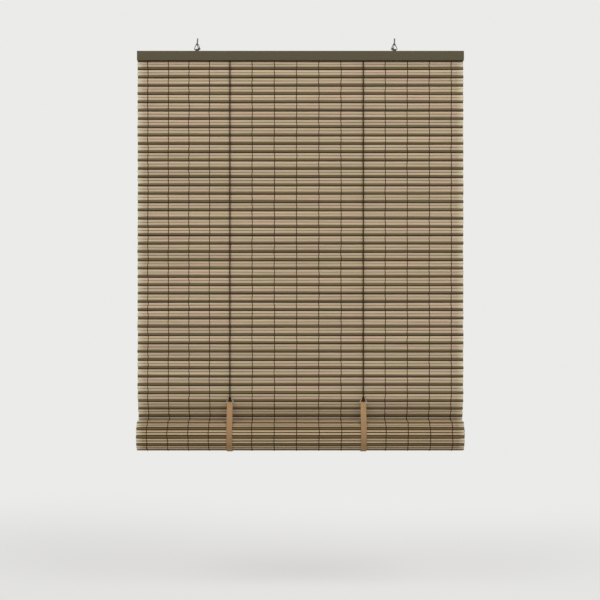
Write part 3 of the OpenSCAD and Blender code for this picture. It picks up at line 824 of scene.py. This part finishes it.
def buildStrings():
    spans = [("upper", 0, matPlan["upperSlats"], "headrail", ["upper_strings"], (-1, 1)),
             ("lower", matPlan["upperSlats"], slatsStraight, "headrail", ["lower_strings"], (-1, 1)),
             ("bend", slatsStraight, slatsHung, None, ["lower_strings"], (-1, 1)),
             ("rolled", slatsHung, slatsHung + stringPlan["rolledSlats"], "roll", [], (1,))]
    for span, first, last, body, replaced, sides in spans:
        bm = bmesh.new()
        for side in sides:
            string = stringMesh(first, last, side)
            for column, x in enumerate(stringColumns()):
                before = len(bm.verts)
                copyInto(bm, string, Matrix.Translation((x * mm, 0, 0)))
                bm.verts.ensure_lookup_table()
                swayString(bm.verts[before:], bm.verts.layers.float["along"], column)
            bpy.data.meshes.remove(string)
        piece = asPiece(span + "Strings", bm, [finishes["stringYarn"]], body, replaced)
        gatherMat(piece, span)


buildStrings()
print("stage: strings are woven")


# slings: strap from the ring round the roll, and the tape behind the mat

slingPlan = {
    "width": 13.4, "strap": 1.1, "tape": 0.75, "sides": 12, "overString": 0.75,
    "ringZ": -837, "ringWire": 1.5, "ringPlay": 0.2, "tail": 42, "layer": 1.3,
    "hem": (16, 13, 10, 7.5, 5.5), "hemTurn": 215, "settle": 4,
    "hemSteps": 12, "frontSteps": 6, "roundSteps": 48, "tailSteps": 5, "tapeSteps": 40,
    "hemSeams": (7, 13), "backSeams": (23, 38), "stitches": 5, "stitchStep": 2.4, "stitch": (0.95, 0.3, 0.3),
    "stitchFaces": (6, 5), "stitchLift": 0.05, "tapeTop": -16.3, "tapeY": -35.3, "tapeOut": -38.5, "tapePress": 0.4,
    "seamLow": 18, "seamHigh": 50, "keep": 0.0606,
}


def stationsAlong(points, x):
    # stations through y, z points, with X across the tape
    stations = []
    for k, (y, z) in enumerate(points):
        before, after = points[max(k - 1, 0)], points[min(k + 1, len(points) - 1)]
        lead = math.atan2(after[0] - before[0], -(after[1] - before[1]))
        stations.append(Matrix.Translation(Vector((x, y, z)) * mm) @ Matrix.Rotation(lead, 4, "X"))
    return stations


def spoke(a):
    return Vector((math.cos(a), math.sin(a)))


def snugRadius(a):
    # the strap's middle on the roll's outer turn, which winds inwards from the back under the bottom to the front
    turns = (bendTilt + 2 * math.pi - a) / (2 * math.pi)
    return matPlan["rollRadius"] - matPlan["turnPitch"] * turns + slingPlan["overString"] + slingPlan["strap"] / 2


def strapRoute():
    # y, z points: hem behind the front run, round the ring's wire, down the front, under the roll and up behind it
    loop = slingPlan["ringWire"] / 2 + slingPlan["ringPlay"] + slingPlan["strap"] / 2
    bar, axis = Vector((cordPlan["y"], slingPlan["ringZ"])), Vector((matPlan["rollY"], matPlan["rollZ"]))
    way = axis - bar
    turn = math.pi
    for k in range(slingPlan["settle"]):  # settles where the straight run meets the roll
        lean = math.acos((loop - snugRadius(turn)) / way.length)
        turn = math.atan2(way.y, way.x) - lean + 2 * math.pi
    out = spoke(turn)
    start, end = bar + out * loop, axis + out * snugRadius(turn)
    down = (end - start).normalized()
    points = [start + down * t - out * slingPlan["layer"] for t in slingPlan["hem"]]
    for k in range(slingPlan["hemSteps"] + 1):
        a = turn - math.radians(slingPlan["hemTurn"]) * (1 - k / slingPlan["hemSteps"])
        points.append(bar + spoke(a) * loop)
    points += [start.lerp(end, k / slingPlan["frontSteps"]) for k in range(1, slingPlan["frontSteps"])]
    for k in range(slingPlan["roundSteps"] + 1):
        a = turn + (2 * math.pi - turn) * k / slingPlan["roundSteps"]
        points.append(axis + spoke(a) * snugRadius(a))
    back = snugRadius(2 * math.pi)
    points += [axis + Vector((back, slingPlan["tail"] * k / slingPlan["tailSteps"]))
               for k in range(1, slingPlan["tailSteps"] + 1)]
    face = slingPlan["strap"] / 2 + slingPlan["stitchLift"]
    seams = [start + down * t + out * face for t in slingPlan["hemSeams"]]
    seams += [axis + Vector((back + face, z)) for z in slingPlan["backSeams"]]
    return points, seams


def addStitches(bm, x, seams):
    # short tight threads across the strap
    around, tall = slingPlan["stitchFaces"]
    for y, z in seams:
        for k in range(slingPlan["stitches"]):
            made = bmesh.ops.create_uvsphere(bm, u_segments=around, v_segments=tall, radius=mm)["verts"]
            bmesh.ops.scale(bm, vec=slingPlan["stitch"], verts=made)
            across = (k - (slingPlan["stitches"] - 1) / 2) * slingPlan["stitchStep"]
            bmesh.ops.translate(bm, vec=Vector((x + across, y, z)) * mm, verts=made)


def tapeRoutes():
    # y, z points of the tape inside the headrail, of its run behind the mat, and of its end on the strap
    out = Vector((slingPlan["tapeY"], slingPlan["tapeOut"]))
    seam = Vector((matPlan["rollY"] + matPlan["rollRadius"] - slingPlan["tapePress"],
                   matPlan["rollZ"] + slingPlan["seamHigh"]))
    return {"tapeTop": [Vector((slingPlan["tapeY"], slingPlan["tapeTop"])), out],
            "backTape": [out.lerp(seam, k / slingPlan["tapeSteps"]) for k in range(slingPlan["tapeSteps"] + 1)],
            "tapeEnd": [seam, Vector((seam.x, matPlan["rollZ"] + slingPlan["seamLow"]))]}


def bandPiece(name, route, x, thickness, material, body, node):
    bm = sweepMesh()
    ring = tapeRing(bm, slingPlan["width"], thickness, slingPlan["sides"])
    sweepRing(bm, ring, stationsAlong(route, x), [v * mm for v in runLengths(route)])
    return asPiece(name, bm, [finishes[material]], body, [node])


def buildSlings():
    strap, seams = strapRoute()
    routes = tapeRoutes()
    tapeLength = sum(runLengths(route)[-1] for route in routes.values())
    for side, x in ties:
        band = bandPiece("strap" + side, strap, x, slingPlan["strap"], "strapWeave", "ties", "strap_" + side.lower())
        tapes = {}
        for name, route in routes.items():
            tapes[name] = bandPiece(name + side, route, x, slingPlan["tape"], "tapeWeave",
                                    "ties" if name == "tapeEnd" else "headrail", "back_tape_" + side.lower())
        bm = bmesh.new()
        addStitches(bm, x, seams)
        thread = asPiece("strapStitches" + side, bm, [finishes["seamThread"]], "ties")
        runLengths(strap)[-1] * mm
        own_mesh(tapes["backTape"])


buildSlings()
print("stage: slings are sewn")


# knots: a cord tied over itself, on the ring and above the ledge

knotPlan = {
    "steps": 60, "stepLength": 0.5, "span": 2.7, "sides": 8, "endShare": 0.85,
    "ring": {"z": -828.9, "y": -48, "wide": 3.0, "deep": 1.5, "tall": -4.2, "strand": 1.35,
             "end": ((0.4, -1.0, -0.5), (0.8, -1.9, -2.4), (1.1, -2.4, -4.4), (1.2, -2.6, -6.4))},
    "anchor": {"z": -19.5, "y": -46.3, "wide": 1.4, "deep": 0.8, "tall": 2.0, "strand": 1.05},
}


def cordStation(point, lead):
    return Matrix.Translation(point) @ lead.to_track_quat("Z", "Y").to_matrix().to_4x4()


def knotMesh(shape):
    steps, span = knotPlan["steps"], knotPlan["span"]
    points = []
    for k in range(steps):
        t = 2 * math.pi * k / steps
        points.append(Vector(((math.sin(t) + 2 * math.sin(2 * t)) / span * shape["wide"],
                              -math.sin(3 * t) * shape["deep"],
                              (math.cos(t) - 2 * math.cos(2 * t)) / span * shape["tall"])) * mm)
    stations = [cordStation(point, (points[(k + 1) % steps] - points[k - 1]).normalized())
                for k, point in enumerate(points)]
    bm = sweepMesh()
    ring = roundRing(bm, shape["strand"], knotPlan["sides"])
    sweepRing(bm, ring, stations, [k * (knotPlan["stepLength"] * mm) for k in range(steps)], closed=True)
    if "end" in shape:  # the cord's free end hangs out of the knot
        points = [Vector(point) * mm for point in shape["end"]]
        stations = [cordStation(point, points[min(k + 1, len(points) - 1)] - points[max(k - 1, 0)])
                    for k, point in enumerate(points)]
        ring = roundRing(bm, shape["strand"] * knotPlan["endShare"], knotPlan["sides"])
        sweepRing(bm, ring, stations, runLengths(points))
    return asMesh("knot", bm)


def buildKnots():
    for kind, node, body in (("ring", "cord_knot_", "ties"), ("anchor", "anchor_knot_", "headrail")):
        shape = knotPlan[kind]
        knot = knotMesh(shape)
        for side, x in ties:
            bm = bmesh.new()
            copyInto(bm, knot, Matrix.Translation(Vector((x, shape["y"], shape["z"])) * mm))
            asPiece(kind + "Knot" + side, bm, [finishes["cordYarn"]], body, [node + side.lower()])
        bpy.data.meshes.remove(knot)


buildKnots()
print("stage: knots are tied")


# headrail: folded channel and its end caps

railPlan = {
    "length": 762.2, "depth": 16, "top": -15, "height": 22, "wall": 1.2, "bend": 1.4, "bendSteps": 4,
    "cap": 1.0, "capRound": 0.6, "capSteps": 3, "crease": 40,
    "plugReach": 10, "plugSides": ((-6.7, -2.0), (2.0, 6.7)), "plugLow": 1, "plugHigh": 1.4,  # inside the channel
}


def boxMesh(bm, low, high):
    made = bmesh.ops.create_cube(bm, size=1)["verts"]
    low, high = Vector(low) * mm, Vector(high) * mm
    bmesh.ops.scale(bm, vec=high - low, verts=made)
    bmesh.ops.translate(bm, vec=(low + high) / 2, verts=made)


def roundEdges(bm, edges, radius, steps):
    bmesh.ops.bevel(bm, geom=edges, offset=radius * mm, offset_type="OFFSET", affect="EDGES",
                    segments=steps, profile=0.5, material=-1)


def buildHeadrail():
    x, y = matPlan["middle"], matPlan["y"]
    low = (x - railPlan["length"] / 2, y - railPlan["depth"] / 2, railPlan["top"] - railPlan["height"])
    high = (x + railPlan["length"] / 2, y + railPlan["depth"] / 2, railPlan["top"])
    bm = bmesh.new()
    boxMesh(bm, low, high)
    openFaces = [f for f in bm.faces if abs(f.normal.x) > 0.5 or f.normal.z < -0.5]
    bmesh.ops.delete(bm, geom=openFaces, context="FACES_ONLY")
    roundEdges(bm, [e for e in bm.edges if len(e.link_faces) == 2], railPlan["bend"], railPlan["bendSteps"])
    bmesh.ops.recalc_face_normals(bm, faces=bm.faces)
    bmesh.ops.solidify(bm, geom=bm.faces[:], thickness=railPlan["wall"] * mm)
    asPiece("headrailChannel", bm, [finishes["railPaint"]], "headrail", ["headrail_channel"],
            railPlan["crease"])
    for side, sign in (("Left", -1), ("Right", 1)):
        inner = x + sign * railPlan["length"] / 2
        outer = inner + sign * railPlan["cap"]
        tip = inner - sign * railPlan["plugReach"]
        bm = bmesh.new()
        boxMesh(bm, (min(inner, outer), low[1], low[2]), (max(inner, outer), high[1], high[2]))
        rim = [e for e in bm.edges if all(abs(v.co.x - outer * mm) < 1e-6 for v in e.verts)]
        roundEdges(bm, rim, railPlan["capRound"], railPlan["capSteps"])
        for front, back in railPlan["plugSides"]:
            boxMesh(bm, (min(inner, tip), y + front, low[2] + railPlan["plugLow"]),
                    (max(inner, tip), y + back, high[2] - railPlan["plugHigh"]))
        asPiece("endCap" + side, bm, [finishes["capPlastic"]], "headrail", ["end_cap_" + side.lower()],
                railPlan["crease"])


buildHeadrail()
print("stage: headrail is folded")


# screw threads on the hooks, and finishes for the nodes that stay as they are

threadPlan = {"hooks": (-230.5, 230.5), "from": 1.0, "core": 1.72, "crest": 2.05, "half": 0.4, "pitch": 1.4,
              "turns": 11, "turnSteps": 16}


def buildThreads():
    bm = bmesh.new()
    corners = [(threadPlan["core"], -threadPlan["half"]), (threadPlan["crest"], 0),
               (threadPlan["core"], threadPlan["half"])]
    for x in threadPlan["hooks"]:
        verts = [bm.verts.new(Vector((x + r, threadPlan["from"] + off, 0)) * mm) for r, off in corners]
        edges = [bm.edges.new((verts[0], verts[1])), bm.edges.new((verts[1], verts[2]))]
        bmesh.ops.spin(bm, geom=verts + edges, cent=Vector((x, 0, 0)) * mm, axis=(0, 1, 0),
                       dvec=Vector((0, threadPlan["pitch"] / threadPlan["turnSteps"], 0)) * mm,
                       angle=2 * math.pi * threadPlan["turns"],
                       steps=threadPlan["turns"] * threadPlan["turnSteps"], use_duplicate=False)
    bmesh.ops.recalc_face_normals(bm, faces=bm.faces)
    asPiece("hookThreads", bm, [finishes["hookZinc"]], "hooks")


dressPlan = {
    "hookZinc": ("screw_hook_left", "screw_hook_right"),
    "hangerZinc": ("hanger_ring_left", "hanger_ring_right"),
    "slingZinc": ("tie_ring_left", "tie_ring_right", "clamp_strip", "clamp_screws"),
    "saddleSteel": ("saddle_left", "saddle_right", "saddle_rivets"),
    "bareWood": ("batten", "bottom_rod"),
}


def dressNodes():
    for material, names in dressPlan.items():
        for name in names:
            mesh = nodes[name].data
            mesh.materials.clear()
            mesh.materials.append(finishes[material])


buildThreads()
dressNodes()
print("stage: hooks are threaded and the bare nodes have their finish")
